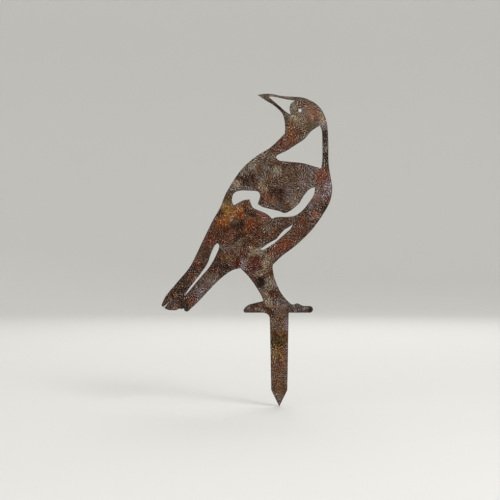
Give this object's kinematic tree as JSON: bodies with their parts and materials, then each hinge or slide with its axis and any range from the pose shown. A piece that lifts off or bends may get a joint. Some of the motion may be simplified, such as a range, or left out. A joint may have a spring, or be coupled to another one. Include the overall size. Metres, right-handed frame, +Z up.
{
  "type": "bird figure",
  "caption": "Flat silhouette of a perched magpie in rusted steel plate, pierced for its pale plumage, on a pointed spike that is driven into wood or ground.",
  "frame": {"origin": "on the spike's centre line in the plate's mid-plane, level with the flat undersides of the toes", "axes": "+Z up along the spike towards the head, +X towards the breast and the front toe (right in the picture), +Y through the plate, away from the face seen in the picture"},
  "size_m": [0.2221, 0.003, 0.4067],
  "materials": {
    "rusted_steel": "weathering steel under a closed, dry, granular rust skin: brown mottled with orange, ochre, pale buff and near black"
  },
  "bodies": {
    "root": {"bird_plate": "rusted_steel"}
  },
  "joints": []
}
